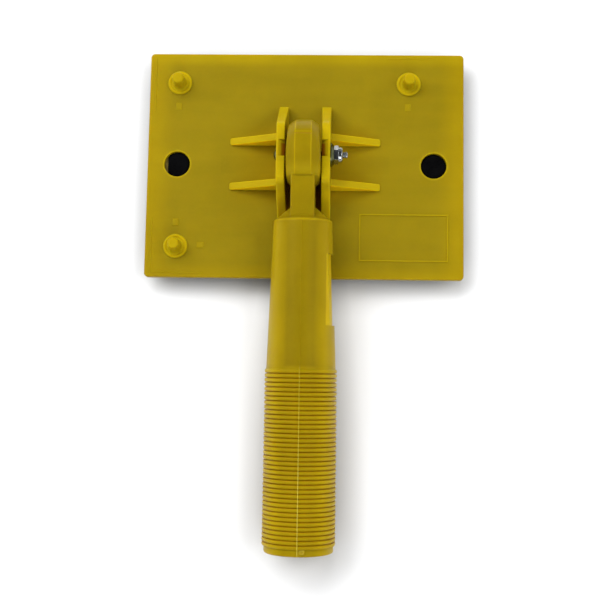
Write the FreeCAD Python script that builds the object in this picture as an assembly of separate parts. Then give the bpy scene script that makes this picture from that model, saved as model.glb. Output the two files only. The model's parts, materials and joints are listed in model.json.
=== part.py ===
import FreeCAD, Part

import math
import os

from FreeCAD import Vector

# A plastic sanding head on a threaded pole handle.
# Millimetres. +Z is up, +Y points away from the handle, and the sanding face lies on Z = 0.

# Shared allowances
SINK = 1.0          # how deep a moulded detail is rooted in what carries it
CUT = 1.0           # how far a cutter reaches past the surface that it opens
TINY = 0.01         # tolerance for picking edges by position

# Plate and the soft layers bonded under it
PLATE_X = 158.75
PLATE_Y = 115.0
PLATE_T = 3.0
PLATE_CORNER_R = 2.0
PLATE_EDGE_R = 0.7
RELIEF_X = 84.3
RELIEF_Y = 9.1
RELIEF_DEPTH = 1.0
HOLE_R = 6.5
HOLE_X = 64.4
PAD_X = 142.8
PAD_Y = 110.0
PAD_T = 7.94
PAD_CORNER_R = 4.0
BULGE_R = 6.35
BULGE_BELOW_TOP = 0.9
BULGE_FROM_X = -69.2
FACING_T = 1.3

# Studs: a disc with a soft raised bead, and a tapered post in its middle
STUD_CENTRES = [(-64.0, 42.0), (51.7, 42.0), (-64.0, -42.0)]
STUD_DISC_R = 6.15
STUD_EDGE_H = 0.4
STUD_BEAD_R = 5.45
STUD_BEAD_H = 1.1
STUD_FLOOR_R = 4.5
STUD_FLOOR_H = 0.8
STUD_POST_ROOT_R = 3.2
STUD_POST_TOP_R = 2.95
STUD_POST_H = 9.7
STUD_ROOT_FILLET = 0.9
STUD_CROWN_ROUND = 1.25

# Thin raised lines on the plate
FRAME_X = 43.6
FRAME_Y = 23.2
FRAME_CENTRE = (49.6, -36.7)
FRAME_W = 0.6
FRAME_H = 0.45
MARKS_UPRIGHT = [(-64.3, 29.9), (51.3, 29.9), (-64.2, -29.7)]
MARKS_LEVEL = [(-51.5, -41.3)]
MARK_LONG = 3.5
MARK_SHORT = 2.9
MARK_H = 0.2
BORDER_X = 76.27
BORDER_Y = 55.2
BORDER_LINES = [(-BORDER_X, 27.8, -BORDER_X, BORDER_Y), (-BORDER_X, -BORDER_Y, -BORDER_X, -28.3),
                (-BORDER_X, -BORDER_Y, -50.2, -BORDER_Y), (40.7, BORDER_Y, 65.8, BORDER_Y)]
BORDER_W = 0.3
BORDER_H = 0.18

# Clevis
PIVOT_ABOVE_PLATE = 20.3
EAR_TOP_ABOVE_PLATE = 26.5
EAR_OUTER_X = 13.05
EAR_INNER_X_ROOT = 8.3
EAR_INNER_X_TOP = 8.95
EAR_HALF_TOP = 14.2
EAR_HALF_ROOT = 28.8
EAR_TOE_H = 3.6
EAR_ROUND_R = 5.0
EAR_EDGE_R = 0.5
NOTCH_Y = (-2.1, 6.1)
NOTCH_BELOW_TOP = 4.0
NOTCH_TOP_X = 12.1
NOTCH_MID = (10.6, 1.0)
GUSSET_Y = 11.45
GUSSET_W = 3.45
GUSSET_END_X = 37.7
GUSSET_ROOT_H = 12.0
GUSSET_TIP_H = 1.0
GUSSET_TIP_ROUND = 0.9
GUSSET_EDGE_R = 0.35

# Knuckle and neck, about the pivot
KNUCKLE_R = 16.8
KNUCKLE_RIM_HALF = 3.85
KNUCKLE_SHOULDER = [(12.4, 8.25), (14.0, 7.7), (15.3, 6.1)]
KNUCKLE_BACK_HALF = 7.2
KNUCKLE_BACK_Y = 13.0
KNUCKLE_EDGE_R = 0.4
HUB_R = 8.0
HUB_HALF = 8.3
PANEL_DROP = 0.1
PANEL_FROM_DEG = 27.2
PANEL_TO_DEG = -46.0
STEP_DROP = 0.45
STEP_DEG = 29.4
CHAMFER_DEG = 37.0
HANDLE_SHIFT_X = 0.2
NECK_HALF_X = 5.75
NECK_HALF_Z = 11.6
NECK_EDGE = 0.45

# Sleeve, ribbed grip and end rim, stations measured along the axis from the pivot
CONE_START = 25.2
CONE_START_R = 5.6
SLEEVE_START = 32.2
SLEEVE_START_R = 14.15
SLEEVE_START_ROUND = 0.6
SLEEVE_END_R = 16.68
GRIP_START = 103.75
GRIP_END = 187.3
GRIP_START_R = 17.33
GRIP_END_R = 17.65
RIB_COUNT = 39
RIB_SHOULDER = 0.3
RIB_LEAN = 0.05
GROOVE_W = 0.36
GROOVE_DEPTH = 0.95
END_RIM_R = 16.65
HANDLE_END = 190.7
END_ROUND = 0.8
SEAM_HALF_W = 0.2
SEAM_RAISE = 0.12
SEAM_ROOT_R = 11.5
GATE_CENTRE_X = 2.3
GATE_STATION = 188.3
GATE_HALF = (1.4, 1.2)
GATE_H = 0.25
GATE_DIMPLE_R = 0.45
GATE_DIMPLE_DEPTH = 0.2
RECESS_START = 48.3
RECESS_END = 82.8
RECESS_HALF_Z = 7.8
RECESS_DEPTH = 1.05

# Pole socket: plain wall at the bottom of a 3/4 inch, 5 per inch pole thread, and the coring above it
SOCKET_R = 9.8
SOCKET_DEPTH = 45.0
SOCKET_LEAD = 1.0
CORE_R = 7.4
CORE_TIP_R = 6.6
CORE_TIP = 3.0
CORE_END = 62.0

# Pivot fasteners: a number 6 screw 1 3/8 inch long, a washer and a lock nut
SCREW_R = 1.75
SCREW_LENGTH = 34.4
SCREW_HEAD_R = 3.2
SCREW_HEAD_H = 1.6
SCREW_HEAD_BRIM = 0.3
SCREW_POINT = 0.4
SCREW_PITCH = 0.794
THREAD_DEPTH = 0.38
THREAD_LAND = 0.45
CROSS_W = 0.85
CROSS_L = 3.2
CROSS_DEPTH = 0.9
RUNNING_CLEARANCE = 0.07
EAR_HOLE_R = 1.9
WASHER_R = 6.0
WASHER_BRIM = 0.5
WASHER_SEAT_R = 4.7
WASHER_T = 1.7
WASHER_HOLE_R = 1.95
NUT_FLATS = 7.94
NUT_HEX_H = 2.4
NUT_CORNER_TURN = 0.45
NUT_H = 4.3
NUT_COLLAR_R = 3.9
NUT_CROWN_R = 3.4
NUT_CROWN_H = 0.75
NUT_LIP = 0.3
NUT_MOUTH_R = 2.35
NUT_TURN_DEG = 12.0
INSERT_R = 2.75
INSERT_T = 1.5

PLATE_BOTTOM = FACING_T + PAD_T
PLATE_TOP = PLATE_BOTTOM + PLATE_T
PIVOT_Z = PLATE_TOP + PIVOT_ABOVE_PLATE
EAR_TOP_Z = PLATE_TOP + EAR_TOP_ABOVE_PLATE
NUT_X = EAR_OUTER_X + WASHER_T
SCREW_END_X = SCREW_LENGTH - EAR_OUTER_X

# The handle slopes down until the widest ring of its grip reaches the surface that the pad rests on.
WIDEST_R = GRIP_END_R + SEAM_RAISE
REST_SLOPE_DEG = math.degrees(
    math.asin(PIVOT_Z / math.hypot(GRIP_END, WIDEST_R)) - math.atan2(WIDEST_R, GRIP_END))

ORIGIN = Vector(0, 0, 0)
X_AXIS = Vector(1, 0, 0)
Y_AXIS = Vector(0, 1, 0)
Z_AXIS = Vector(0, 0, 1)


# Shared helpers --------------------------------------------------------------------------------

def box(low, high):
    size = [b - a for a, b in zip(low, high)]
    return Part.makeBox(size[0], size[1], size[2], Vector(*low))


def prism(points, direction):
    """A straight prism over a closed outline of straight sides."""
    return Part.Face(Part.makePolygon(points + points[:1])).extrude(direction)


def turned(edges_or_points, axis):
    """A solid of revolution from a closed outline, given as points or as edges."""
    if isinstance(edges_or_points[0], Vector):
        wire = Part.makePolygon(edges_or_points + edges_or_points[:1])
    else:
        wire = Part.Wire(edges_or_points)
    return Part.Face(wire).revolve(ORIGIN, axis, 360)


def chain(points):
    """Straight edges from point to point."""
    return [Part.makeLine(a, b) for a, b in zip(points, points[1:])]


def edges_where(shape, test):
    """The edges that pass the test at both ends and in between."""
    chosen = []
    for edge in shape.Edges:
        first, last = edge.ParameterRange
        samples = [edge.valueAt(first + (last - first) * k / 4) for k in range(5)]
        if all(test(p) for p in samples):
            chosen.append(edge)
    return chosen


def near(value, target):
    return abs(value - target) < TINY


def runs_along(edge, axis):
    return abs(edge.tangentAt(edge.FirstParameter).dot(axis)) > 1 - TINY


def mirrored(shape, side):
    return shape if side > 0 else shape.mirror(ORIGIN, X_AXIS)


def rounded_slab(size_x, size_y, z0, z1, corner_r):
    slab = box((-size_x / 2, -size_y / 2, z0), (size_x / 2, size_y / 2, z1))
    return slab.makeFillet(corner_r, [e for e in slab.Edges if runs_along(e, Z_AXIS)])


# Base plate ------------------------------------------------------------------------------------

def plate_slab():
    slab = rounded_slab(PLATE_X, PLATE_Y, PLATE_BOTTOM, PLATE_TOP, PLATE_CORNER_R)
    slab = slab.makeFillet(PLATE_EDGE_R, edges_where(slab, lambda p: near(p.z, PLATE_TOP)))
    relief = box((-RELIEF_X / 2, -RELIEF_Y / 2, PLATE_BOTTOM - CUT),
                 (RELIEF_X / 2, RELIEF_Y / 2, PLATE_BOTTOM + RELIEF_DEPTH))
    holes = [Part.makeCylinder(HOLE_R, PLATE_T + 2 * CUT, Vector(x, 0, PLATE_BOTTOM - CUT))
             for x in (-HOLE_X, HOLE_X)]
    return slab.cut([relief] + holes)


def ear(side):
    """One clevis ear: its inner face leans outwards towards the top, its outer face is upright."""
    z0 = PLATE_TOP - SINK
    z1 = EAR_TOP_Z
    toe_z = PLATE_TOP + EAR_TOE_H
    outline = [Vector(0, -EAR_HALF_ROOT, z0), Vector(0, -EAR_HALF_ROOT, toe_z),
               Vector(0, -EAR_HALF_TOP, z1), Vector(0, EAR_HALF_TOP, z1),
               Vector(0, EAR_HALF_ROOT, toe_z), Vector(0, EAR_HALF_ROOT, z0)]
    profile = prism(outline, Vector(EAR_OUTER_X, 0, 0))
    shoulders = edges_where(profile, lambda p: near(p.z, z1) and near(abs(p.y), EAR_HALF_TOP))
    profile = profile.makeFillet(EAR_ROUND_R, shoulders)
    section = [Vector(EAR_INNER_X_ROOT, -EAR_HALF_ROOT, z0), Vector(EAR_OUTER_X, -EAR_HALF_ROOT, z0),
               Vector(EAR_OUTER_X, -EAR_HALF_ROOT, z1 + CUT),
               Vector(EAR_INNER_X_TOP, -EAR_HALF_ROOT, z1 + CUT)]
    solid = profile.common(prism(section, Vector(0, 2 * EAR_HALF_ROOT, 0)))
    crest = edges_where(solid, lambda p: p.z > toe_z + TINY)
    solid = solid.makeFillet(EAR_EDGE_R, [e for e in crest if e.Length > EAR_OUTER_X - EAR_INNER_X_ROOT])
    start_y, end_y = NOTCH_Y
    mid_x, mid_below = NOTCH_MID
    rim = Vector(NOTCH_TOP_X, start_y, z1)
    foot = Vector(EAR_INNER_X_ROOT, start_y, z1 - NOTCH_BELOW_TOP)
    scoop = Part.Arc(rim, Vector(mid_x, start_y, z1 - mid_below), foot).toShape()
    sides = chain([foot, Vector(EAR_INNER_X_ROOT, start_y, z1 + CUT), Vector(NOTCH_TOP_X, start_y, z1 + CUT), rim])
    notch = Part.Face(Part.Wire([scoop] + sides)).extrude(Vector(0, end_y - start_y, 0))
    return mirrored(solid.cut(notch), side)


def gusset(side_x, side_y):
    root_x = EAR_OUTER_X - SINK
    low_z = PLATE_TOP - SINK
    tip_z = PLATE_TOP + GUSSET_TIP_H
    outline = [Vector(root_x, 0, low_z), Vector(root_x, 0, PLATE_TOP + GUSSET_ROOT_H),
               Vector(GUSSET_END_X, 0, tip_z), Vector(GUSSET_END_X, 0, low_z)]
    rib = prism(outline, Vector(0, GUSSET_W, 0))
    tip = edges_where(rib, lambda p: near(p.x, GUSSET_END_X))
    rib = rib.makeFillet(GUSSET_TIP_ROUND, [e for e in tip if runs_along(e, Z_AXIS)])
    top = edges_where(rib, lambda p: p.z > tip_z - TINY)
    rib = rib.makeFillet(GUSSET_EDGE_R, [e for e in top if e.Length > 2 * GUSSET_W])
    rib.translate(Vector(0, GUSSET_Y * side_y - GUSSET_W / 2, 0))
    return mirrored(rib, side_x)


def stud(x, y):
    """A disc with a soft raised bead round it and a rounded post in its middle."""

    def up(radius, height):
        return Vector(radius, 0, PLATE_TOP + height)

    round_mid = STUD_CROWN_ROUND * math.sqrt(0.5)
    crown_r = STUD_POST_TOP_R - STUD_CROWN_ROUND
    crown_h = STUD_POST_H - STUD_CROWN_ROUND
    root_mid = STUD_ROOT_FILLET * (1 - math.sqrt(0.5))
    solid = turned(
        chain([up(0, STUD_POST_H), up(0, -SINK), up(STUD_DISC_R, -SINK), up(STUD_DISC_R, STUD_EDGE_H)])
        + [Part.Arc(up(STUD_DISC_R, STUD_EDGE_H), up(STUD_BEAD_R, STUD_BEAD_H),
                    up(STUD_FLOOR_R, STUD_FLOOR_H)).toShape()]
        + chain([up(STUD_FLOOR_R, STUD_FLOOR_H), up(STUD_POST_ROOT_R + STUD_ROOT_FILLET, STUD_FLOOR_H)])
        + [Part.Arc(up(STUD_POST_ROOT_R + STUD_ROOT_FILLET, STUD_FLOOR_H),
                    up(STUD_POST_ROOT_R + root_mid, STUD_FLOOR_H + root_mid),
                    up(STUD_POST_ROOT_R, STUD_FLOOR_H + STUD_ROOT_FILLET)).toShape()]
        + chain([up(STUD_POST_ROOT_R, STUD_FLOOR_H + STUD_ROOT_FILLET), up(STUD_POST_TOP_R, crown_h)])
        + [Part.Arc(up(STUD_POST_TOP_R, crown_h), up(crown_r + round_mid, crown_h + round_mid),
                    up(crown_r, STUD_POST_H)).toShape()]
        + chain([up(crown_r, STUD_POST_H), up(0, STUD_POST_H)]), Z_AXIS)
    solid.translate(Vector(x, y, 0))
    return solid


def raised_line(x0, y0, x1, y1, width, height):
    return box((x0 - width / 2, y0 - width / 2, PLATE_TOP - SINK),
               (x1 + width / 2, y1 + width / 2, PLATE_TOP + height))


def raised_pad(centre, size_x, size_y):
    x, y = centre
    return box((x - size_x / 2, y - size_y / 2, PLATE_TOP - SINK),
               (x + size_x / 2, y + size_y / 2, PLATE_TOP + MARK_H))


def thin_details():
    """The blank label frame, the small plain tool marks beside the studs, and lines near the corners."""
    x0, x1 = FRAME_CENTRE[0] - FRAME_X / 2, FRAME_CENTRE[0] + FRAME_X / 2
    y0, y1 = FRAME_CENTRE[1] - FRAME_Y / 2, FRAME_CENTRE[1] + FRAME_Y / 2
    sides = [(x0, y0, x1, y0), (x0, y1, x1, y1), (x0, y0, x0, y1), (x1, y0, x1, y1)]
    return ([raised_line(*ends, FRAME_W, FRAME_H) for ends in sides]
            + [raised_line(*ends, BORDER_W, BORDER_H) for ends in BORDER_LINES]
            + [raised_pad(centre, MARK_SHORT, MARK_LONG) for centre in MARKS_UPRIGHT]
            + [raised_pad(centre, MARK_LONG, MARK_SHORT) for centre in MARKS_LEVEL])


def base_plate():
    pieces = [ear(1), ear(-1)]
    pieces += [gusset(sx, sy) for sx in (1, -1) for sy in (1, -1)]
    pieces += [stud(x, y) for x, y in STUD_CENTRES]
    body = plate_slab().multiFuse(pieces + thin_details())
    screw_way = Part.makeCylinder(EAR_HOLE_R, 2 * (EAR_OUTER_X + CUT),
                                  Vector(-EAR_OUTER_X - CUT, 0, PIVOT_Z), X_AXIS)
    return body.cut(screw_way).removeSplitter()


# Soft layers -----------------------------------------------------------------------------------

def foam_pad():
    """The pad, swollen a little way up into the two round holes of the plate."""
    pad = rounded_slab(PAD_X, PAD_Y, FACING_T, PLATE_BOTTOM, PAD_CORNER_R)
    reach = box((BULGE_FROM_X, -PAD_Y / 2, FACING_T), (PAD_X / 2, PAD_Y / 2, PLATE_TOP - BULGE_BELOW_TOP))
    bulges = [Part.makeCylinder(BULGE_R, PLATE_T + SINK, Vector(x, 0, PLATE_BOTTOM - SINK)).common(reach)
              for x in (-HOLE_X, HOLE_X)]
    return pad.multiFuse(bulges).removeSplitter()


def hook_facing():
    return rounded_slab(PAD_X, PAD_Y, 0, FACING_T, PAD_CORNER_R)


# Handle: made along -Y with its pivot at the origin, then laid at its rest slope -----------------

def at(radius, station):
    """A point of the outline that is revolved about the handle's axis."""
    return Vector(radius, -station, 0)


def grip_outline():
    """Edges of the ribbed grip: low rounded ribs with narrow flat grooves between them."""
    pitch = (GRIP_END - GRIP_START + GROOVE_W) / RIB_COUNT
    edges = []
    foot = at(SLEEVE_END_R, GRIP_START)
    for k in range(RIB_COUNT):
        start = GRIP_START + k * pitch
        end = start + pitch - GROOVE_W
        crest = GRIP_START_R + (GRIP_END_R - GRIP_START_R) * k / (RIB_COUNT - 1)
        rise = at(crest - RIB_SHOULDER, start + RIB_LEAN)
        fall = at(crest - RIB_SHOULDER, end - RIB_LEAN)
        is_last = k == RIB_COUNT - 1
        root = at(END_RIM_R, GRIP_END) if is_last else at(crest - GROOVE_DEPTH, end)
        edges += [Part.makeLine(foot, rise), Part.Arc(rise, at(crest, (start + end) / 2), fall).toShape(),
                  Part.makeLine(fall, root)]
        if not is_last:
            foot = at(crest - GROOVE_DEPTH, start + pitch)
            edges.append(Part.makeLine(root, foot))
    return edges


def sleeve_and_grip():
    round_s = SLEEVE_START_ROUND
    round_mid = round_s * (1 - math.sqrt(0.5))
    end_mid = END_ROUND * (1 - math.sqrt(0.5))
    front = chain([at(0, HANDLE_END), at(0, CONE_START), at(CONE_START_R, CONE_START),
                   at(SLEEVE_START_R - round_s, SLEEVE_START)])
    nose = Part.Arc(at(SLEEVE_START_R - round_s, SLEEVE_START),
                    at(SLEEVE_START_R - round_mid, SLEEVE_START + round_mid),
                    at(SLEEVE_START_R, SLEEVE_START + round_s)).toShape()
    barrel = Part.makeLine(at(SLEEVE_START_R, SLEEVE_START + round_s), at(SLEEVE_END_R, GRIP_START))
    rim = Part.makeLine(at(END_RIM_R, GRIP_END), at(END_RIM_R, HANDLE_END - END_ROUND))
    rim_round = Part.Arc(at(END_RIM_R, HANDLE_END - END_ROUND), at(END_RIM_R - end_mid, HANDLE_END - end_mid),
                         at(END_RIM_R - END_ROUND, HANDLE_END)).toShape()
    mouth = Part.makeLine(at(END_RIM_R - END_ROUND, HANDLE_END), at(0, HANDLE_END))
    return turned(front + [nose, barrel] + grip_outline() + [rim, rim_round, mouth], Y_AXIS)


def parting_seam():
    """The fine ridge that the two halves of the moulding tool leave above and below."""
    top = [(SLEEVE_START_R, SLEEVE_START + SLEEVE_START_ROUND), (SLEEVE_END_R, GRIP_START),
           (GRIP_START_R, GRIP_START), (GRIP_END_R, GRIP_END), (END_RIM_R, GRIP_END),
           (END_RIM_R, HANDLE_END - END_ROUND)]
    outline = [Vector(-SEAM_HALF_W, -station, radius + SEAM_RAISE) for radius, station in top]
    outline += [Vector(-SEAM_HALF_W, -top[-1][1], SEAM_ROOT_R), Vector(-SEAM_HALF_W, -top[0][1], SEAM_ROOT_R)]
    upper = prism(outline, Vector(2 * SEAM_HALF_W, 0, 0))
    return [upper, upper.mirror(ORIGIN, Z_AXIS)]


def knuckle():
    """A bevelled disc about the pivot, with a shallow panel behind a small notch on its face."""
    side = [(0, HUB_HALF), (HUB_R, HUB_HALF)] + KNUCKLE_SHOULDER + [(KNUCKLE_R, KNUCKLE_RIM_HALF)]
    disc = turned([Vector(x, r, 0) for r, x in side] + [Vector(-x, r, 0) for r, x in reversed(side)], X_AXIS)
    rim = edges_where(disc, lambda p: math.hypot(p.y, p.z) > KNUCKLE_SHOULDER[-1][0] - TINY)
    disc = disc.makeFillet(KNUCKLE_EDGE_R, rim)
    clear = 2 * KNUCKLE_R
    back_half = HUB_HALF + (KNUCKLE_BACK_HALF - HUB_HALF) * clear / KNUCKLE_BACK_Y
    for sign in (-1, 1):
        taper = chain([Vector(sign * x, y, -clear) for x, y in
                       ((HUB_HALF, 0), (clear, 0), (clear, clear), (back_half, clear), (HUB_HALF, 0))])
        disc = disc.cut(Part.Face(Part.Wire(taper)).extrude(Vector(0, 0, 2 * clear)))

    def polar(radius, degrees):
        angle = math.radians(degrees)
        return Vector(-HUB_HALF - CUT, radius * math.sin(angle), radius * math.cos(angle))

    panel_r = KNUCKLE_R - PANEL_DROP
    clear_r = 2 * KNUCKLE_R
    middle = (PANEL_FROM_DEG + PANEL_TO_DEG) / 2
    floor = Part.Arc(polar(panel_r, PANEL_FROM_DEG), polar(panel_r, middle), polar(panel_r, PANEL_TO_DEG))
    cutter = Part.Wire(
        chain([polar(clear_r, CHAMFER_DEG), polar(KNUCKLE_R, CHAMFER_DEG),
               polar(KNUCKLE_R - STEP_DROP, STEP_DEG), polar(panel_r, PANEL_FROM_DEG)])
        + [floor.toShape()]
        + chain([polar(panel_r, PANEL_TO_DEG), polar(clear_r, PANEL_TO_DEG), polar(clear_r, CHAMFER_DEG)]))
    return disc.cut(Part.Face(cutter).extrude(Vector(2 * (HUB_HALF + CUT), 0, 0)))


def neck():
    solid = box((-NECK_HALF_X, -SLEEVE_START - SINK, -NECK_HALF_Z), (NECK_HALF_X, 0, NECK_HALF_Z))
    return solid.makeChamfer(NECK_EDGE, [e for e in solid.Edges if runs_along(e, Y_AXIS)])


def sleeve_radius(station):
    along = (station - SLEEVE_START) / (GRIP_START - SLEEVE_START)
    return SLEEVE_START_R + (SLEEVE_END_R - SLEEVE_START_R) * along


def label_recess():
    """The shallow blank pocket on the handle's right side, its floor parallel to the sleeve."""
    r0, r1 = sleeve_radius(RECESS_START), sleeve_radius(RECESS_END)
    shell = turned([at(r0 - RECESS_DEPTH, RECESS_START), at(r0 + CUT, RECESS_START),
                    at(r1 + CUT, RECESS_END), at(r1 - RECESS_DEPTH, RECESS_END)], Y_AXIS)
    window = box((0, -RECESS_END - CUT, -RECESS_HALF_Z), (SLEEVE_END_R + CUT, -RECESS_START + CUT, RECESS_HALF_Z))
    return shell.common(window)


def pole_socket():
    """What the socket and the coring above it take out of the handle."""
    mouth = HANDLE_END
    deep = mouth - SOCKET_DEPTH
    return turned([at(0, mouth + CUT), at(SOCKET_R + SOCKET_LEAD + CUT, mouth + CUT),
                   at(SOCKET_R + SOCKET_LEAD, mouth), at(SOCKET_R, mouth - SOCKET_LEAD), at(SOCKET_R, deep),
                   at(CORE_R, deep - (SOCKET_R - CORE_R)), at(CORE_TIP_R, CORE_END + CORE_TIP),
                   at(0, CORE_END)], Y_AXIS)


def gate_mark():
    """A small oval scar with a dimple where the plastic entered the mould."""
    wide, long = GATE_HALF
    oval = Part.Ellipse(ORIGIN, wide, long).toShape()
    oval.translate(Vector(GATE_CENTRE_X, -GATE_STATION, END_RIM_R - SINK))
    boss = Part.Face(Part.Wire(oval)).extrude(Vector(0, 0, SINK + GATE_H))
    dimple = Part.makeCylinder(GATE_DIMPLE_R, SINK,
                               Vector(GATE_CENTRE_X, -GATE_STATION, END_RIM_R + GATE_H - GATE_DIMPLE_DEPTH))
    return boss.cut(dimple)


def handle():
    body = sleeve_and_grip().multiFuse([knuckle(), neck(), gate_mark()] + parting_seam())
    bore = Part.makeCylinder(SCREW_R + RUNNING_CLEARANCE, 2 * (HUB_HALF + CUT),
                             Vector(-HUB_HALF - CUT, 0, 0), X_AXIS)
    body = body.cut([label_recess(), pole_socket(), bore])
    body.rotate(ORIGIN, X_AXIS, REST_SLOPE_DEG)
    body.translate(Vector(HANDLE_SHIFT_X, 0, PIVOT_Z))
    return body


# Pivot fasteners, all about the X axis at the pivot's height --------------------------------------

def along_x(points):
    """Points of an outline that is revolved about X, from pairs of position and radius."""
    return [Vector(x, radius, 0) for x, radius in points]


def pivot_screw():
    seat = -EAR_OUTER_X
    top = seat - SCREW_HEAD_H
    brim = seat - SCREW_HEAD_BRIM
    x = NUT_X + NUT_H
    points = [(brim, SCREW_HEAD_R), (seat, SCREW_HEAD_R), (seat, SCREW_R), (x, SCREW_R)]
    while x + SCREW_PITCH < SCREW_END_X - SCREW_POINT:
        points += [(x + SCREW_PITCH * THREAD_LAND, SCREW_R - THREAD_DEPTH),
                   (x + SCREW_PITCH * (1 - THREAD_LAND), SCREW_R - THREAD_DEPTH), (x + SCREW_PITCH, SCREW_R)]
        x += SCREW_PITCH
    points += [(SCREW_END_X - SCREW_POINT, SCREW_R), (SCREW_END_X, SCREW_R - SCREW_POINT), (SCREW_END_X, 0)]
    rise = brim - top
    ball_r = (SCREW_HEAD_R ** 2 + rise ** 2) / (2 * rise)
    half_r = SCREW_HEAD_R / 2
    dome_x = top + ball_r - math.sqrt(ball_r ** 2 - half_r ** 2)
    dome = Part.Arc(*along_x([(top, 0), (dome_x, half_r), (brim, SCREW_HEAD_R)])).toShape()
    solid = turned([dome] + chain(along_x(points + [(top, 0)])), X_AXIS)
    for half_y, half_z in ((CROSS_L / 2, CROSS_W / 2), (CROSS_W / 2, CROSS_L / 2)):
        solid = solid.cut(box((top - CUT, -half_y, -half_z), (top + CROSS_DEPTH, half_y, half_z)))
    solid.translate(Vector(0, 0, PIVOT_Z))
    return solid


def washer():
    """A coned washer, thin at its brim and thicker under the nut."""
    solid = turned(along_x([(0, WASHER_HOLE_R), (0, WASHER_R), (WASHER_BRIM, WASHER_R),
                            (WASHER_T, WASHER_SEAT_R), (WASHER_T, WASHER_HOLE_R)]), X_AXIS)
    solid.translate(Vector(EAR_OUTER_X, 0, PIVOT_Z))
    return solid


def hexagon(corner):
    angles = [math.radians(60 * k + NUT_TURN_DEG) for k in range(6)]
    points = [Vector(0, corner * math.cos(a), corner * math.sin(a)) for a in angles]
    return prism(points, Vector(NUT_HEX_H, 0, 0))


def lock_nut():
    """A hexagon with turned corners and a crowned collar that grips a plastic ring."""
    corner = NUT_FLATS / math.sqrt(3)
    turn = NUT_CORNER_TURN
    corners = turned(along_x([(0, 0), (0, corner - turn), (turn, corner), (NUT_HEX_H - turn, corner),
                              (NUT_HEX_H, corner - 2 * turn), (NUT_HEX_H, 0)]), X_AXIS)
    collar = turned(along_x([(turn, 0), (turn, NUT_CROWN_R), (NUT_HEX_H - turn, NUT_COLLAR_R),
                             (NUT_H - NUT_CROWN_H, NUT_COLLAR_R), (NUT_H - NUT_CROWN_H / 3, NUT_CROWN_R + turn / 2),
                             (NUT_H, NUT_CROWN_R - turn / 2), (NUT_H, 0)]), X_AXIS)
    lip_x = NUT_H - NUT_LIP
    seat = lip_x - INSERT_T
    way = turned(along_x([(-CUT, 0), (-CUT, SCREW_R), (seat, SCREW_R), (seat, INSERT_R), (lip_x, INSERT_R),
                          (lip_x, NUT_MOUTH_R), (NUT_H + CUT, NUT_MOUTH_R), (NUT_H + CUT, 0)]), X_AXIS)
    solid = hexagon(corner).common(corners).fuse(collar).cut(way)
    solid.translate(Vector(NUT_X, 0, PIVOT_Z))
    return solid.removeSplitter()


def nylon_insert():
    start = NUT_X + NUT_H - NUT_LIP - INSERT_T
    ring = Part.makeCylinder(INSERT_R, INSERT_T, Vector(start, 0, PIVOT_Z), X_AXIS)
    return ring.cut(Part.makeCylinder(SCREW_R, INSERT_T + 2 * CUT, Vector(start - CUT, 0, PIVOT_Z), X_AXIS))


NODES = {
    "base_plate": base_plate,
    "foam_pad": foam_pad,
    "hook_facing": hook_facing,
    "handle": handle,
    "pivot_screw": pivot_screw,
    "washer": washer,
    "lock_nut": lock_nut,
    "nylon_insert": nylon_insert,
}

os.makedirs("parts", exist_ok=True)
for name, build in NODES.items():
    shape = build()
    shape.exportStep("parts/" + name + ".step")
    bounds = shape.BoundBox
    print("%-13s valid %s solids %d volume %.0f faces %d z %.2f to %.2f" % (
        name, shape.isValid(), len(shape.Solids), shape.Volume, len(shape.Faces), bounds.ZMin, bounds.ZMax))
print("rest slope %.4f degrees, pivot height %.2f" % (REST_SLOPE_DEG, PIVOT_Z))
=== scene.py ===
import json
import math
import random

import bpy
from mathutils import Matrix, Vector, noise


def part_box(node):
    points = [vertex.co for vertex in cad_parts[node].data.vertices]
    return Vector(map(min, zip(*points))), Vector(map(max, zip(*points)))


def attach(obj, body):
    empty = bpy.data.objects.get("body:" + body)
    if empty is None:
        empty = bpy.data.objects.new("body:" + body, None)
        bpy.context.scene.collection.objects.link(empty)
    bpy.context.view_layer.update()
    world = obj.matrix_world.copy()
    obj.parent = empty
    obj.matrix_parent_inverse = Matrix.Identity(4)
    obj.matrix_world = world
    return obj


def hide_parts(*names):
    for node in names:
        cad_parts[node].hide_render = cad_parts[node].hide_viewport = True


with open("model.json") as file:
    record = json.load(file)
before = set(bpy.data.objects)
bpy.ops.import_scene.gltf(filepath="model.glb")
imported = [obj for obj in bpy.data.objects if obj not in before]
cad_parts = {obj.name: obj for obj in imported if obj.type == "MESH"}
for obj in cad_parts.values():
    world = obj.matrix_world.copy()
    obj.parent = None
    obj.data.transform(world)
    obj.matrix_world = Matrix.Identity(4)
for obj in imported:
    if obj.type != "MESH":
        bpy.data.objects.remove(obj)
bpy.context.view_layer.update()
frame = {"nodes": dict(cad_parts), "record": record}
MM = 0.001

# Places on the CAD model ------------------------------------------------------------------------

# In metres, for the meshes.
POLE_SOCKET = next(m for m in frame["record"]["mounts"] if m["name"] == "pole_socket")
AXIS = Vector(POLE_SOCKET["axis"])
PIVOT_Z = frame["record"]["behaviour"]["joints"][0]["pos_m"][2]
BULGE_BELOW_PLATE_TOP = 0.9 * MM
BULGE_FROM_X = -69.2 * MM
PLATE_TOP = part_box("foam_pad")[1].z + BULGE_BELOW_PLATE_TOP
PLATE_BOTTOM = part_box("base_plate")[0].z
HOLE_X = 64.4 * MM
HOLE_R = 6.5 * MM
PAD_CORNER = 4 * MM

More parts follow.
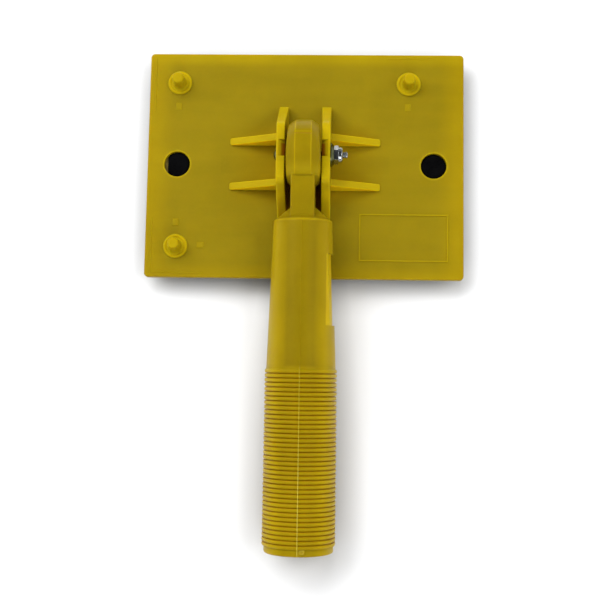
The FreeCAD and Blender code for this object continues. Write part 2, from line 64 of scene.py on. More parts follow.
# In millimetres, for the colours. A station is a distance along the handle from the pivot.
PIVOT_HEIGHT = PIVOT_Z / MM
GUSSET_Y = 11.45
PANEL_HALF_X = 3.8
PANEL_STEP_SHADE_Y = 6.85
PANEL_STEP_LIGHT_Y = 7.75
SEAM_X = 0.2
SLEEVE_START = 32.2
RECESS = (48.0, 83.2)
GRIP_START_Y = -103.4
GRIP_START = 103.75
GRIP_END = 187.3
CREST_START_R = 17.33
CREST_END_R = 17.65
GATE_X = 2.3
GATE_Y = -189.0


def rgb(r, g, b):
    return (r, g, b, 1.0)


# Colours, linear --------------------------------------------------------------------------------

YELLOW_BACKED = rgb(0.247, 0.179, 0.0048)       # plate over the black pad
YELLOW_OPEN_LIT_FROM_BELOW = rgb(0.308, 0.215, 0.0034)         # plate's border, with no pad behind; painted light from below shows through it
YELLOW_PAINTED_LIGHT = rgb(0.430, 0.313, 0.0030)         # painted light: thin walls and edges, lit through
YELLOW_PAINTED_GLOW = rgb(0.780, 0.540, 0.0040)         # painted glow: gusset sides, lit through from behind
YELLOW_PAINTED_BOUNCE = rgb(0.390, 0.248, 0.0020)         # painted bounce light: plate beside the ears, lit by them
YELLOW_HANDLE = rgb(0.232, 0.161, 0.0018)
YELLOW_HANDLE_SOFT = rgb(0.210, 0.144, 0.0018)
# Painted light: the grip's ribs lighter, as if lit through.
YELLOW_RIB = rgb(0.280, 0.195, 0.0018)
YELLOW_SEAM = rgb(0.600, 0.480, 0.080)
SHEEN_TINT = rgb(1.0, 0.85, 0.25)
# Painted shade: a shade line at the sleeve, warm shade in the grip's grooves and the knuckle's step,
# and shade in the ears' notches.
SHADE_BROWN = rgb(0.150, 0.100, 0.0010)
WARM_PAINTED_SHADE = rgb(0.330, 0.165, 0.0010)
NOTCH_SHADE = rgb(0.240, 0.050, 0.002)
GAP_PAINTED_BOUNCE = rgb(0.620, 0.300, 0.008)             # painted bounce light: between the ears, where light only bounces
SPECK = rgb(0.05, 0.035, 0.01)
# Painted reflection of the yellow plastic on the screw's head, and painted shade where the screw
# runs through the joint.
ZINC_PAINTED_REFLECTION = rgb(0.150, 0.150, 0.070)
JOINT_PAINTED_SHADE = rgb(0.020, 0.010, 0.003)
# Painted shade, warmed by bounce light, on the foam's top where it meets the plate.
FOAM_TOP_PAINTED_SHADE = rgb(0.290, 0.225, 0.060)
FOAM_TOP_PAINTED_SHADE_DEEP = rgb(0.200, 0.150, 0.042)
# Painted contact shade on the floor.
CONTACT_SHADE = rgb(0.30, 0.30, 0.31)

PLATE_GLOSS = 0.09
HANDLE_GLOSS = 0.11
PLATE_GRAIN = (1.0, 9.0, 1.0)
HANDLE_GRAIN = (8.0, 1.0, 8.0)
CONTACT_REACH = 21.0 * MM


# Node graphs ------------------------------------------------------------------------------------

class Graph:
    """A material's node tree, with short calls for the nodes that the materials here use."""

    def __init__(self, name):
        self.material = bpy.data.materials.new(name)
        self.material.use_nodes = True
        self.tree = self.material.node_tree
        self.tree.nodes.clear()
        self.shader = self.add("ShaderNodeBsdfPrincipled")
        output = self.add("ShaderNodeOutputMaterial")
        self.tree.links.new(self.shader.outputs["BSDF"], output.inputs["Surface"])
        self.position = self.add("ShaderNodeTexCoord").outputs["Object"]

    def add(self, kind, **settings):
        made = self.tree.nodes.new(kind)
        for key, value in settings.items():
            setattr(made, key, value)
        return made

    def put(self, socket, value):
        if isinstance(value, bpy.types.NodeSocket):
            self.tree.links.new(value, socket)
        else:
            socket.default_value = value

    def math(self, operation, a, b=0.0, c=0.0):
        made = self.add("ShaderNodeMath", operation=operation)
        for socket, value in zip(made.inputs, (a, b, c)):
            self.put(socket, value)
        return made.outputs[0]

    def times(self, *values):
        product = values[0]
        for value in values[1:]:
            product = self.math("MULTIPLY", product, value)
        return product

    def off(self, value, centre=0.0):
        """How far a value is from a centre, either way."""
        return self.math("ABSOLUTE", self.math("SUBTRACT", value, centre))

    def length(self, a, b):
        squares = [self.math("POWER", value, 2.0) for value in (a, b)]
        return self.math("SQRT", self.math("ADD", *squares))

    def axes_mm(self):
        """The place on the object, as three values in millimetres."""
        split = self.add("ShaderNodeSeparateXYZ")
        self.put(split.inputs[0], self.stretched((1 / MM, 1 / MM, 1 / MM)))
        return split.outputs[0], split.outputs[1], split.outputs[2]

    def stretched(self, scale):
        made = self.add("ShaderNodeVectorMath", operation="MULTIPLY")
        self.put(made.inputs[0], self.position)
        self.put(made.inputs[1], scale)
        return made.outputs[0]

    def noise(self, scale, detail=3.0, roughness=0.55, vector=None):
        made = self.add("ShaderNodeTexNoise")
        self.put(made.inputs["Vector"], self.position if vector is None else vector)
        self.put(made.inputs["Scale"], scale)
        self.put(made.inputs["Detail"], detail)
        self.put(made.inputs["Roughness"], roughness)
        return made.outputs[0]

    def cells(self, scale):
        made = self.add("ShaderNodeTexVoronoi")
        self.put(made.inputs["Vector"], self.position)
        self.put(made.inputs["Scale"], scale)
        return made.outputs["Distance"]

    def span(self, value, low, high, to_low=0.0, to_high=1.0, smooth=True):
        """value from low..high mapped to to_low..to_high and held at the ends."""
        interpolation = "SMOOTHSTEP" if smooth else "LINEAR"
        made = self.add("ShaderNodeMapRange", interpolation_type=interpolation)
        for key, item in (("Value", value), ("From Min", low), ("From Max", high),
                          ("To Min", to_low), ("To Max", to_high)):
            self.put(made.inputs[key], item)
        return made.outputs[0]

    def mix(self, factor, a, b, blend="MIX"):
        made = self.add("ShaderNodeMix", data_type="RGBA", blend_type=blend)
        self.put(made.inputs["Factor"], factor)
        self.put(made.inputs[6], a)
        self.put(made.inputs[7], b)
        return made.outputs[2]

    def over(self, colour, mask, strength, other):
        """A colour with another laid over it where the mask is 1."""
        return self.mix(self.times(mask, strength), colour, other)

    def scaled(self, colour, value):
        """A colour made lighter or darker by a number that varies over the surface."""
        grey = self.add("ShaderNodeCombineXYZ")
        for socket in grey.inputs:
            self.put(socket, value)
        return self.mix(1.0, colour, grey.outputs[0], "MULTIPLY")

    def toned(self, colour, mask, factor):
        """A colour made lighter or darker by one factor where the mask is 1."""
        return self.scaled(colour, self.span(mask, 0.0, 1.0, 1.0, factor))

    def bump(self, height, strength, distance, normal=None):
        made = self.add("ShaderNodeBump")
        self.put(made.inputs["Height"], height)
        self.put(made.inputs["Strength"], strength)
        self.put(made.inputs["Distance"], distance)
        if normal is not None:
            self.put(made.inputs["Normal"], normal)
        return made.outputs[0]

    def set(self, **values):
        for key, value in values.items():
            self.put(self.shader.inputs[key.replace("_", " ").title().replace("Ior", "IOR")], value)


# Materials --------------------------------------------------------------------------------------

def edge_light(g, radius):
    """1 along sharp edges and 0 on flats, from how far a rounded normal leans from the true one,
    and the rounded normal itself."""
    bevel = g.add("ShaderNodeBevel", samples=4)
    g.put(bevel.inputs["Radius"], radius)
    true = g.add("ShaderNodeNewGeometry").outputs["Normal"]
    dot = g.add("ShaderNodeVectorMath", operation="DOT_PRODUCT")
    g.put(dot.inputs[0], bevel.outputs[0])
    g.put(dot.inputs[1], true)
    return g.span(dot.outputs["Value"], 0.97, 0.72), bevel.outputs[0]


def moulded_plastic(name, colour_of, grain, gloss):
    """Satin moulded plastic. colour_of gives the body colour from the graph, and grain is how much
    finer the marks of the tool's polishing are along each axis."""
    g = Graph(name)
    colour = colour_of(g)
    mottle = g.noise(38.0, 4.0, 0.6)
    streak = g.noise(14.0, 3.0, 0.5, g.stretched(grain))
    fine = g.noise(900.0, 2.0, 0.6)
    shade = g.math("ADD", g.span(mottle, 0.3, 0.7, -0.05, 0.05),
                   g.span(streak, 0.3, 0.7, -0.035, 0.035))
    shade = g.math("ADD", shade, g.span(fine, 0.3, 0.7, 0.985, 1.015))
    colour = g.scaled(colour, shade)
    edge, soft_normal = edge_light(g, 0.35 * MM)
    # Painted highlight along sharp edges.
    colour = g.over(colour, edge, 0.55, YELLOW_PAINTED_LIGHT)
    speck = g.span(g.cells(120.0), 0.055, 0.035)
    chosen = g.span(g.noise(47.0, 1.0), 0.68, 0.72)
    colour = g.over(colour, g.times(speck, chosen), 0.75, SPECK)
    g.set(base_color=colour, ior=1.49, specular_ior_level=gloss, specular_tint=SHEEN_TINT)
    g.set(subsurface_weight=0.45, subsurface_scale=0.005)
    g.shader.inputs["Subsurface Radius"].default_value = (1.0, 0.62, 0.08)
    scuff = g.noise(60.0, 5.0, 0.7, g.stretched((grain[1], grain[0], grain[2])))
    g.set(roughness=g.math("ADD", g.span(mottle, 0.3, 0.7, 0.36, 0.43),
                           g.span(scuff, 0.5, 0.75, 0.0, 0.10)))
    lines = g.noise(95.0, 2.0, 0.5, g.stretched([8 * finer for finer in grain]))
    texture = g.noise(1500.0, 2.0, 0.5)
    normal = g.bump(g.noise(140.0, 2.0), 0.10, 0.5 * MM, soft_normal)
    normal = g.bump(lines, 0.10, 0.12 * MM, normal)
    g.set(normal=g.bump(texture, 0.16, 0.06 * MM, normal))
    return g.material


def plate_colour(g):
    """Deeper where the black pad lies behind the plate; painted light in the open border, in the
    raised lines and in the thin upright walls; painted shade and bounce light in the narrow gaps of
    the clevis."""
    pad_low, pad_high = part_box("foam_pad")
    x, y, z = g.axes_mm()
    off_x = g.off(x)
    off_y = g.off(y)
    above = g.math("SUBTRACT", z, PLATE_TOP / MM)

    # Painted light coming through from below where no pad lies behind the plate.
    backed = g.times(*[
        g.span(g.math("MULTIPLY_ADD", value, sign, -edge * sign / MM), -6.0, 7.0)
        for value, low, high in ((x, pad_low.x, pad_high.x), (y, pad_low.y, pad_high.y))
        for edge, sign in ((low, 1.0), (high, -1.0))])
    colour = g.mix(backed, YELLOW_OPEN_LIT_FROM_BELOW, YELLOW_BACKED)
    # Painted light along the far border, and painted bounce light from the ears on the plate beside
    # them.
    colour = g.mix(g.span(y, 50.0, 55.0, 0.0, 0.35), colour, YELLOW_PAINTED_LIGHT)
    near_ears = g.times(g.span(off_x, 46.0, 14.0), g.span(off_y, 24.0, 13.0))
    colour = g.over(colour, near_ears, 0.45, YELLOW_PAINTED_BOUNCE)

    # Painted light on the raised lines, then on the tops of the stud dishes, then round the rims of
    # the holes.
    colour = g.mix(g.span(above, 0.06, 0.35, 0.0, 0.50), colour, YELLOW_PAINTED_LIGHT)
    colour = g.mix(g.span(above, 0.5, 0.9, 0.0, 0.9), colour, YELLOW_PAINTED_LIGHT)
    rim = HOLE_R / MM
    for hole_x in (-HOLE_X, HOLE_X):
        away = g.length(g.math("SUBTRACT", x, hole_x / MM), y)
        colour = g.mix(g.span(away, rim + 1.2, rim, 0.0, 0.55), colour, YELLOW_PAINTED_LIGHT)

    # Painted glow on upright walls: ears and gussets nearly wholly, studs a little.
    lifted = g.span(above, 1.5, 8.0)
    wall = g.span(off_x, 46.0, 40.0)
    colour = g.over(colour, lifted, g.span(wall, 0.0, 1.0, 0.12, 0.92), YELLOW_PAINTED_LIGHT)
    # Painted shade over the sunk middle, showing through from under the plate.
    sunk_middle = g.times(g.span(off_x, 42.6, 41.7), g.span(off_y, 5.0, 4.1))
    colour = g.toned(colour, sunk_middle, 0.955)
    # Painted light on the front parts of the ears.
    ear = g.times(g.span(off_x, 8.7, 8.85), g.span(off_x, 13.4, 13.1),
                  g.span(y, -14.0, -22.0), lifted)
    colour = g.toned(colour, ear, 1.35)
    # Painted bounce light in the gap between the ears.
    gap = g.times(g.span(off_x, 9.7, 9.3), g.span(y, -3.0, -8.0), g.span(y, -27.0, -23.0),
                  g.span(above, 12.0, 3.0))
    colour = g.over(colour, gap, 0.9, GAP_PAINTED_BOUNCE)
    # A painted glow on the gussets' sides.
    off_gusset = g.off(off_y, GUSSET_Y)
    gusset_side = g.times(g.span(off_gusset, 1.45, 1.65), g.span(off_gusset, 2.6, 2.3),
                          g.span(off_x, 13.1, 13.3), g.span(off_x, 38.4, 38.0),
                          g.span(above, 0.2, 0.6))
    colour = g.over(colour, gusset_side, 0.9, YELLOW_PAINTED_GLOW)
    # Less of the painted light on the stud tops.
    stud_top = g.times(g.span(off_x, 44.0, 46.0), g.span(above, 8.5, 9.2))
    colour = g.toned(colour, stud_top, 0.88)
    # Painted shade in the ears' notches.
    notch = g.times(g.span(off_x, 12.3, 9.2), g.span(off_y, 4.8, 4.3), g.span(above, 25.9, 25.3))
    return g.over(colour, notch, 0.85, NOTCH_SHADE)


def handle_colour(g):
    """Painted light on the ribs of the grip, as if thin enough to pass some light, and at the sides;
    a little lighter along the thin parting line; painted warm shade in the grooves between the ribs."""
    x, y, z = g.axes_mm()
    from_middle = g.off(x, SEAM_X)
    colour = g.mix(g.span(g.noise(22.0, 2.0), 0.35, 0.65), YELLOW_HANDLE, YELLOW_HANDLE_SOFT)
    # Painted light on the grip's ribs, as if lit through.
    colour = g.mix(g.span(y, GRIP_START_Y + 1.0, GRIP_START_Y - 1.0), colour, YELLOW_RIB)

    # Knuckle: painted light on the lower half of its raised panel and on the panel's two long
    # creases, and a painted shade line and highlight along its step.
    panel_low = g.times(g.span(y, -5.0, -11.0), g.span(y, -12.4, -12.0))
    colour = g.mix(panel_low, colour, YELLOW_PAINTED_LIGHT)
    colour = g.mix(g.span(y, -24.0, -16.0, 0.0, 0.50), colour, YELLOW_RIB)
    knuckle = g.times(g.span(y, -12.6, -12.0), g.span(z, PIVOT_HEIGHT + 9.0, PIVOT_HEIGHT + 10.0))
    crease = g.times(g.span(g.off(from_middle, PANEL_HALF_X), 0.34, 0.12), knuckle)
    colour = g.over(colour, crease, 0.55, YELLOW_PAINTED_LIGHT)
    panel = g.times(g.span(from_middle, PANEL_HALF_X + 0.2, PANEL_HALF_X - 0.2), knuckle)
    for line_y, tone, strength in ((PANEL_STEP_SHADE_Y, WARM_PAINTED_SHADE, 0.55),
                                   (PANEL_STEP_LIGHT_Y, YELLOW_PAINTED_LIGHT, 0.45)):
        line = g.span(g.off(y, line_y), 0.42, 0.15)
        colour = g.over(colour, g.times(line, panel), strength, tone)
    # Painted light on both sides of the handle, more on the right.
    right_side = g.span(x, 6.0, 13.0, 1.0, 1.42)
    left_side = g.span(x, -6.0, -13.0, 0.0, 0.38)
    colour = g.scaled(colour, g.math("ADD", right_side, left_side))

    # Sleeve: station along the handle's axis, height above it and distance from it.
    station = g.math("ADD", g.times(y, AXIS.y),
                     g.math("MULTIPLY_ADD", z, AXIS.z, -PIVOT_HEIGHT * AXIS.z))
    height = g.math("ADD", g.times(y, AXIS.z),
                    g.math("MULTIPLY_ADD", z, -AXIS.y, PIVOT_HEIGHT * AXIS.y))
    radius = g.length(from_middle, height)
    # A painted shade line and a painted highlight line where the sleeve starts.
    for offset, tone, strength in ((-0.7, SHADE_BROWN, 0.40), (0.5, YELLOW_PAINTED_LIGHT, 0.35)):
        line = g.span(g.off(station, SLEEVE_START + offset), 0.9, 0.3)
        colour = g.over(colour, line, strength, tone)
    # Painted light on the sleeve's flanks and in the recess in its right side.
    flank = g.times(g.span(from_middle, 5.0, 9.0), g.span(station, SLEEVE_START, SLEEVE_START + 3.0),
                    g.span(station, GRIP_START, GRIP_START - 3.0))
    colour = g.toned(colour, flank, 1.17)
    recess = g.times(g.span(x, 11.6, 12.4), g.span(station, RECESS[0], RECESS[0] + 1.0),
                     g.span(station, RECESS[1], RECESS[1] - 1.0))
    colour = g.toned(colour, recess, 1.45)

    # Grip: painted warm shade in the grooves between the rings, then the parting line and the gate
    # mark.
    crest = g.span(station, GRIP_START, GRIP_END, CREST_START_R, CREST_END_R, smooth=False)
    groove = g.times(g.span(g.math("SUBTRACT", crest, radius), 0.08, 0.34),
                     g.span(station, GRIP_START + 0.8, GRIP_START + 1.2),
                     g.span(station, GRIP_END, GRIP_END - 0.4))
    colour = g.over(colour, groove, 0.8, WARM_PAINTED_SHADE)
    seam_strength = g.math("ADD", g.span(y, GRIP_START_Y + 1.0, GRIP_START_Y - 1.0, 0.0, 0.20),
                           g.span(y, GRIP_START_Y - 8.0, GRIP_START_Y - 60.0, 0.0, 0.35))
    colour = g.over(colour, g.span(from_middle, 0.30, 0.16), seam_strength, YELLOW_SEAM)
    gate = g.times(g.span(g.off(x, GATE_X), 1.5, 1.1), g.span(g.off(y, GATE_Y), 1.3, 0.9),
                   g.span(z, 28.0, 30.0))
    return g.over(colour, gate, 0.22, YELLOW_SEAM)


def zinc(name, dark, light, in_joint=False):
    """Zinc plate. in_joint darkens the middle of the screw, where it runs through the joint, as
    painted shade, and turns its head olive, as a painted reflection of the yellow plastic."""
    g = Graph(name)
    tone = g.noise(700.0, 3.0, 0.6)
    colour = g.mix(g.span(tone, 0.3, 0.7), dark, light)
    dull = g.span(g.noise(260.0, 4.0, 0.7), 0.52, 0.70)
    colour = g.over(colour, dull, 0.5, dark)
    if in_joint:
        x, _, _ = g.axes_mm()
        colour = g.mix(g.span(x, -13.4, -12.6), ZINC_PAINTED_REFLECTION, colour)
        colour = g.mix(g.span(g.off(x), 13.2, 12.8), colour, JOINT_PAINTED_SHADE)
    g.set(base_color=colour, metallic=1.0)
    g.set(roughness=g.math("ADD", g.span(tone, 0.3, 0.7, 0.12, 0.20), g.times(dull, 0.14)))
    _, soft_normal = edge_light(g, 0.12 * MM)
    g.set(normal=g.bump(g.noise(2600.0, 2.0), 0.12, 0.04 * MM, soft_normal))
    return g.material


def pale_nylon():
    g = Graph("pale_nylon")
    tone = g.noise(800.0, 3.0)
    pale = g.span(tone, 0.3, 0.7)
    g.set(base_color=g.mix(pale, rgb(0.36, 0.50, 0.68), rgb(0.50, 0.62, 0.76)))
    g.set(roughness=g.span(tone, 0.3, 0.7, 0.30, 0.42))
    g.set(subsurface_weight=0.3, subsurface_scale=0.0008)
    g.set(normal=g.bump(tone, 0.1, 0.05 * MM))
    return g.material


def black_foam():
    """Black foam, with a thin brown band of painted shade, warmed by bounce light, where its top is
    bonded to the plate.
    """
    g = Graph("black_foam")
    cell = g.cells(1700.0)
    broad = g.noise(120.0, 3.0)
    open_cell = g.span(cell, 0.05, 0.5)
    colour = g.mix(open_cell, rgb(0.0006, 0.0006, 0.0007), rgb(0.0028, 0.0028, 0.0030))
    colour = g.scaled(colour, g.span(broad, 0.3, 0.7, 0.8, 1.25))
    _, _, z = g.axes_mm()
    bond = PLATE_BOTTOM / MM
    shade_band = g.times(g.span(z, bond - 0.3, bond - 0.15), g.span(z, bond + 0.35, bond + 0.2))
    colour = g.mix(shade_band, colour, g.mix(g.span(g.noise(300.0, 3.0), 0.35, 0.65), FOAM_TOP_PAINTED_SHADE, FOAM_TOP_PAINTED_SHADE_DEEP))
    g.set(base_color=colour, roughness=g.span(broad, 0.3, 0.7, 0.82, 0.94), specular_ior_level=0.0)
    normal = g.bump(broad, 0.25, 0.4 * MM)
    g.set(normal=g.bump(cell, 0.6, 0.16 * MM, normal))
    return g.material


def black_hooks():
    g = Graph("black_hook_nylon")
    tone = g.noise(1100.0, 3.0)
    pale = g.span(tone, 0.3, 0.7)
    g.set(base_color=g.mix(pale, rgb(0.008, 0.008, 0.009), rgb(0.022, 0.022, 0.024)))
    g.set(roughness=g.span(tone, 0.3, 0.7, 0.38, 0.55))
    g.set(normal=g.bump(tone, 0.2, 0.05 * MM))
    return g.material


def pale_floor():
    """Plain pale floor, with painted contact shade from an occlusion node in the corner that it
    makes with whatever rests on it.
    """
    g = Graph("pale_floor")
    tone = g.span(g.noise(9.0, 3.0), 0.3, 0.7)
    pale = g.mix(tone, rgb(0.86, 0.865, 0.875), rgb(0.89, 0.895, 0.905))
    contact = g.add("ShaderNodeAmbientOcclusion", samples=16)
    g.put(contact.inputs["Distance"], CONTACT_REACH)
    shade = g.span(contact.outputs["AO"], 0.35, 0.97, 0.66, 0.0, smooth=False)
    g.set(base_color=g.mix(shade, pale, CONTACT_SHADE))
    g.set(roughness=g.span(g.noise(160.0, 3.0), 0.3, 0.7, 0.72, 0.85))
    g.set(normal=g.bump(g.noise(450.0, 3.0), 0.03, 0.2 * MM))
    return g.material


def paint(obj, material):
    if obj.data.materials:
        for index in range(len(obj.data.materials)):
            obj.data.materials[index] = material
    else:
        obj.data.materials.append(material)


# Mesh pieces ------------------------------------------------------------------------------------

def piece(name, vertices, faces, material, body, smooth=True):
    mesh = bpy.data.meshes.new(name)
    mesh.from_pydata([tuple(v) for v in vertices], [], faces)
    mesh.validate()
    mesh.polygons.foreach_set("use_smooth", [smooth] * len(mesh.polygons))
    mesh.update()
    made = bpy.data.objects.new(name, mesh)
    bpy.context.scene.collection.objects.link(made)
    paint(made, material)
    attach(made, body)
    return made


def rounded_outline(low, high, radius, spacing):
    """Points round a rectangle with rounded corners, with the outward direction at each."""
    points = []
    corner_steps = 10
    left, right = low.x + radius, high.x - radius
    bottom, top = low.y + radius, high.y - radius
    for cx, cy, start in ((right, top, 0), (left, top, 90),
                          (left, bottom, 180), (right, bottom, 270)):
        for k in range(corner_steps + 1):
            angle = math.radians(start + 90 * k / corner_steps)
            out = Vector((math.cos(angle), math.sin(angle)))
            points.append((Vector((cx, cy)) + out * radius, out))
    filled = []
    for (a, out_a), (b, out_b) in zip(points, points[1:] + points[:1]):
        filled.append((a, out_a))
        count = int((b - a).length / spacing)
        for k in range(1, count):
            filled.append((a.lerp(b, k / count), out_a))
    return filled


# Radius of the foam's bulge and how far it has dropped from its crown there, in millimetres.
BULGE_PROFILE = [(1.6, 0.02), (3.2, 0.06), (4.5, 0.16), (5.5, 0.32), (6.05, 0.62), (6.28, 1.1)]


def add_bulge(vertices, faces, centre_x, left_limit, root_z, top_z):
    """Foam that has swollen up into a round hole of the plate, cut off where the pad ends."""
    count = 64
    base = len(vertices)
    for radius, drop in BULGE_PROFILE + [(BULGE_PROFILE[-1][0], None)]:
        for k in range(count):
            angle = 2 * math.pi * k / count
            reach = radius * MM
            place = Vector((centre_x + reach * math.cos(angle), reach * math.sin(angle), root_z))
            if drop is not None:
                place.z = top_z - (drop + 0.10 + 0.10 * noise.noise(place * 700)) * MM
            place.x = max(place.x, left_limit)
            vertices.append(place)
    vertices.append(Vector((centre_x, 0, top_z - 0.1 * MM)))
    tip = len(vertices) - 1
    rings = len(BULGE_PROFILE) + 1
    for k in range(count):
        n = (k + 1) % count
        faces.append((base + k, base + n, tip))
        for ring in range(rings - 1):
            a = base + ring * count
            faces.append((a + count + k, a + count + n, a + n, a + k))
    faces.append(tuple(reversed(range(base + (rings - 1) * count, base + rings * count))))


def foam_pad(material):
    """The die-cut pad: sides a little hollow from the cut and broken up by cells, edges softly
    rounded, and a bulge in each hole of the plate."""
    low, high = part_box("foam_pad")
    bulge_top = high.z
    high.z = PLATE_BOTTOM
    outline = rounded_outline(low, high, PAD_CORNER, 0.9 * MM)
    levels = 13
    rings = []
    round_depth = 0.35 * MM
    cut_back = 0.2 * MM
    cap_inset = 1.6 * MM
    for level in range(levels):
        t = level / (levels - 1)
        z = low.z + (high.z - low.z) * t
        hollow = 0.28 * MM * math.sin(math.pi * t)
        rim = round_depth * (max(0.0, 1 - t * 8) ** 2 + max(0.0, 1 - (1 - t) * 8) ** 2)
        ring = []
        for point, out in outline:
            place = Vector((point.x, point.y, z))
            rough = noise.noise(place * 900) * 0.09 * MM + noise.noise(place * 260) * 0.10 * MM
            inset = cut_back + hollow + rim + rough
            ring.append(Vector((point.x - out.x * inset, point.y - out.y * inset, z)))
        rings.append(ring)
    for ring_index, target in ((0, low.z), (levels - 1, high.z)):
        inner = []
        for point, out in outline:
            inner.append(Vector((point.x - out.x * cap_inset, point.y - out.y * cap_inset, target)))
        if ring_index == 0:
            rings.insert(0, inner)
        else:
            rings.append(inner)
    count = len(outline)
    vertices = [v for ring in rings for v in ring]
    faces = []
    for a in range(len(rings) - 1):
        for k in range(count):
            n = (k + 1) % count
            here, above = a * count, (a + 1) * count
            faces.append((here + k, here + n, above + n, above + k))
    faces.append(tuple(reversed(range(count))))
    faces.append(tuple(range((len(rings) - 1) * count, len(rings) * count)))
    for centre_x in (-HOLE_X, HOLE_X):
        left_limit = BULGE_FROM_X + 0.1 * MM
        add_bulge(vertices, faces, centre_x, left_limit, high.z - 0.6 * MM, bulge_top)
    made = piece("foam_pad_detailed", vertices, faces, material, "head")
    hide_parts("foam_pad")


def hook_sheet(material):
    """The hook sheet: a thin backing with rows of small bent hooks that stand down to the sanding
    face."""
    low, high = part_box("hook_facing")
    backing_low = high.z - 0.45 * MM
    outline = rounded_outline(low, high, PAD_CORNER, 3 * MM)
    vertices = []
    for z, inset_mm in ((high.z, 0.35), (backing_low + 0.1 * MM, 0.30), (backing_low, 0.42)):
        inset = inset_mm * MM
        vertices += [Vector((p.x - o.x * inset, p.y - o.y * inset, z)) for p, o in outline]
    count = len(outline)
    faces = [tuple(range(count)), tuple(reversed(range(2 * count, 3 * count)))]
    for ring in range(2):
        for k in range(count):
            n = (k + 1) % count
            upper, lower = ring * count, (ring + 1) * count
            faces.append((upper + n, upper + k, lower + k, lower + n))
    random.seed(7)
    pitch = 1.9 * MM
    margin = 1.5 * MM
    columns = int((high.x - low.x - 2 * margin) / pitch)
    rows = int((high.y - low.y - 2 * margin) / pitch)
    height = backing_low - low.z
    # A hook's section: how far along in mm, how far down of its height, and half its width in mm.
    path = [(0.0, -0.06), (0.02, 0.45), (0.10, 0.78), (0.26, 0.96), (0.44, 0.93), (0.52, 0.72)]
    widths = [0.19, 0.16, 0.14, 0.12, 0.10, 0.06]
    corner_free = 3 * MM
    jitter = 0.12
    for i in range(columns + 1):
        for j in range(rows + 1):
            x = low.x + margin + (high.x - low.x - 2 * margin) * i / columns
            y = low.y + margin + (high.y - low.y - 2 * margin) * j / rows
            if max(min(x - low.x, high.x - x), min(y - low.y, high.y - y)) < corner_free:
                continue
            x += random.uniform(-jitter, jitter) * MM
            y += random.uniform(-jitter, jitter) * MM
            facing = 1 if j % 2 else -1
            tall = height * random.uniform(0.93, 1.0)
            base = len(vertices)
            for (along, down), width in zip(path, widths):
                cx = x + facing * along * MM
                cz = backing_low - down * tall
                for sx, sy in ((-1, -1), (1, -1), (1, 1), (-1, 1)):
                    vertices.append(Vector((cx + sx * width * MM * 0.8, y + sy * width * MM, cz)))
            for section in range(len(path) - 1):
                for k in range(4):
                    n = (k + 1) % 4
                    a = base + section * 4
                    faces.append((a + n, a + k, a + 4 + k, a + 4 + n))
            faces.append((base, base + 1, base + 2, base + 3))
            end = base + 4 * (len(path) - 1)
            faces.append((end + 3, end + 2, end + 1, end))
    made = piece("hook_sheet_detailed", vertices, faces, material, "head", smooth=False)
    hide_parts("hook_facing")


def pole_thread(material):
    """The rounded ridge of the pole thread, one helix on the wall of the handle's socket."""
    mouth = Vector(POLE_SOCKET["pos_m"])
    out = AXIS.normalized()
    side = Vector((1, 0, 0))
    up = out.cross(side)
    wall = POLE_SOCKET["dims"]["r_mm"] * MM
    pitch = 5.08 * MM
    lead_in = 2 * MM
    length = POLE_SOCKET["dims"]["length_mm"] * MM - lead_in
    buried = 0.18
    # Along the socket and out from its wall in millimetres, for one turn's section.
    profile = [(-1.9, 0.18), (-1.55, -0.25), (-1.15, -1.35), (-0.85, -1.85), (-0.45, -2.05),
               (0.45, -2.05), (0.85, -1.85), (1.15, -1.35), (1.55, -0.25), (1.9, 0.18)]
    per_turn = 72
    fade_steps = per_turn * 0.12
    turns = (length - 2 * lead_in) / pitch
    steps = int(turns * per_turn)
    vertices = []
    for k in range(steps + 1):
        angle = 2 * math.pi * k / per_turn
        depth = lead_in + pitch * k / per_turn
        fade = min(1.0, k / fade_steps, (steps - k) / fade_steps)
        fade = fade * fade * (3 - 2 * fade)
        for along, rise in profile:
            radial = wall + (buried + (rise - buried) * fade) * MM
            across = side * math.cos(angle) + up * math.sin(angle)
            inward = depth + along * MM * (0.35 + 0.65 * fade)
            vertices.append(mouth - out * inward + across * radial)
    size = len(profile)
    faces = []
    for k in range(steps):
        for p in range(size):
            n = (p + 1) % size
            here, after = k * size, (k + 1) * size
            faces.append((here + p, here + n, after + n, after + p))
    faces.append(tuple(reversed(range(size))))
    faces.append(tuple(range(steps * size, (steps + 1) * size)))
    piece("pole_thread", vertices, faces, material, "handle")


nodes = frame["nodes"]
plate_material = moulded_plastic("moulded_plate", plate_colour, PLATE_GRAIN, PLATE_GLOSS)
handle_material = moulded_plastic("moulded_handle", handle_colour, HANDLE_GRAIN, HANDLE_GLOSS)
screw_material = zinc("screw_zinc", rgb(0.30, 0.32, 0.33), rgb(0.44, 0.46, 0.46), in_joint=True)
paint(nodes["base_plate"], plate_material)
paint(nodes["handle"], handle_material)
paint(nodes["pivot_screw"], screw_material)
# The washer's dark olive is a painted reflection of the yellow plastic.
paint(nodes["washer"], zinc("washer_zinc", rgb(0.070, 0.075, 0.030), rgb(0.120, 0.125, 0.060)))
paint(nodes["lock_nut"], zinc("nut_zinc", rgb(0.34, 0.36, 0.37), rgb(0.50, 0.52, 0.53)))
paint(nodes["nylon_insert"], pale_nylon())
foam_pad(black_foam())
hook_sheet(black_hooks())
pole_thread(handle_material)


# Floor, light and camera ------------------------------------------------------------------------

LIGHT_TARGET = Vector((0, -0.05, 0))
FLOOR_HALF = 3.0
FLOOR_GAP = 0.4 * MM


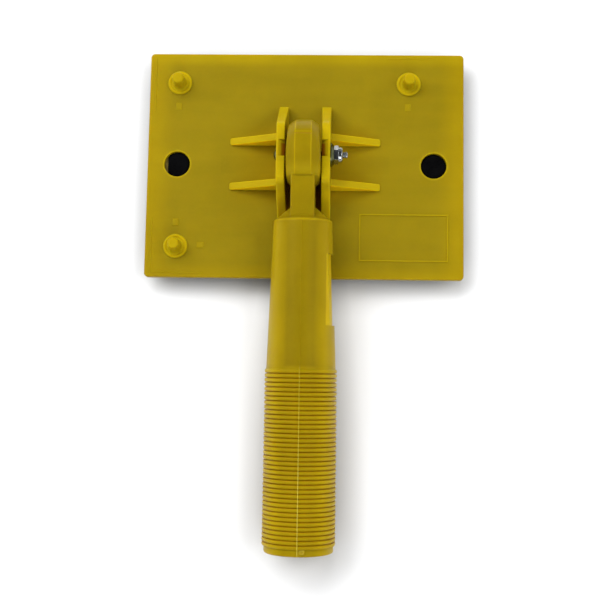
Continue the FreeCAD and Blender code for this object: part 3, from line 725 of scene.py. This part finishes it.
def flat_sheet(name, half, z, material):
    mesh = bpy.data.meshes.new(name)
    corners = [(-half, -half, z), (half, -half, z), (half, half, z), (-half, half, z)]
    mesh.from_pydata(corners, [], [(0, 1, 2, 3)])
    made = bpy.data.objects.new(name, mesh)
    bpy.context.scene.collection.objects.link(made)
    paint(made, material)


def area_light(name, place, size, power, glossy=True):
    data = bpy.data.lights.new(name, "AREA")
    data.shape = "RECTANGLE"
    data.size, data.size_y = size
    data.energy = power
    made = bpy.data.objects.new(name, data)
    bpy.context.scene.collection.objects.link(made)
    made.visible_glossy = glossy
    made.location = place
    made.rotation_mode = "QUATERNION"
    made.rotation_quaternion = (LIGHT_TARGET - Vector(place)).to_track_quat("-Z", "Y")


flat_sheet("floor", FLOOR_HALF, -FLOOR_GAP, pale_floor())
area_light("key_left", (-0.75, 0.33, 1.05), (0.8, 0.8), 11.6)
area_light("fill_right", (0.78, -0.02, 1.02), (0.8, 0.8), 7.3)
area_light("fill_back", (-0.15, 0.72, 1.12), (0.8, 0.6), 8.4, glossy=False)
area_light("fill_front", (0.10, -1.00, 0.82), (0.8, 0.6), 4.8)


def studio_world(low_strength, high_strength):
    """Even pale surroundings that fall off to a dark ceiling, which the upward faces reflect."""
    world = bpy.data.worlds.new("studio")
    bpy.context.scene.world = world
    world.use_nodes = True
    tree = world.node_tree
    background = tree.nodes["Background"]
    background.inputs["Color"].default_value = rgb(0.95, 0.97, 1.0)
    split = tree.nodes.new("ShaderNodeSeparateXYZ")
    tree.links.new(tree.nodes.new("ShaderNodeTexCoord").outputs["Generated"], split.inputs[0])
    fall = tree.nodes.new("ShaderNodeMapRange")
    fall.interpolation_type = "SMOOTHSTEP"
    tree.links.new(split.outputs[2], fall.inputs["Value"])
    for key, value in (("From Min", 0.45), ("From Max", 0.92),
                       ("To Min", low_strength), ("To Max", high_strength)):
        fall.inputs[key].default_value = value
    tree.links.new(fall.outputs[0], background.inputs["Strength"])


studio_world(0.33, 0.05)

# The camera's place in millimetres, the way it looks, and which way is up in its picture.
CAMERA_PLACE = Vector((21.10, -143.25, 584.91)) * MM
CAMERA_FORWARD = Vector((-0.035213, 0.126310, -0.991366))
CAMERA_UP = Vector((-0.012792, 0.991843, 0.126825))
camera_data = bpy.data.cameras.new("camera")
camera_data.sensor_width = 36.0
camera_data.lens = 69.22
camera_data.clip_start = 0.01
camera_data.clip_end = 20.0
camera = bpy.data.objects.new("camera", camera_data)
bpy.context.scene.collection.objects.link(camera)
back = -CAMERA_FORWARD.normalized()
right = CAMERA_UP.cross(back).normalized()
up = back.cross(right)
camera.matrix_world = Matrix((
    (right.x, up.x, back.x, CAMERA_PLACE.x),
    (right.y, up.y, back.y, CAMERA_PLACE.y),
    (right.z, up.z, back.z, CAMERA_PLACE.z),
    (0, 0, 0, 1)))
bpy.context.scene.camera = camera
bpy.context.scene.view_settings.view_transform = "Standard"
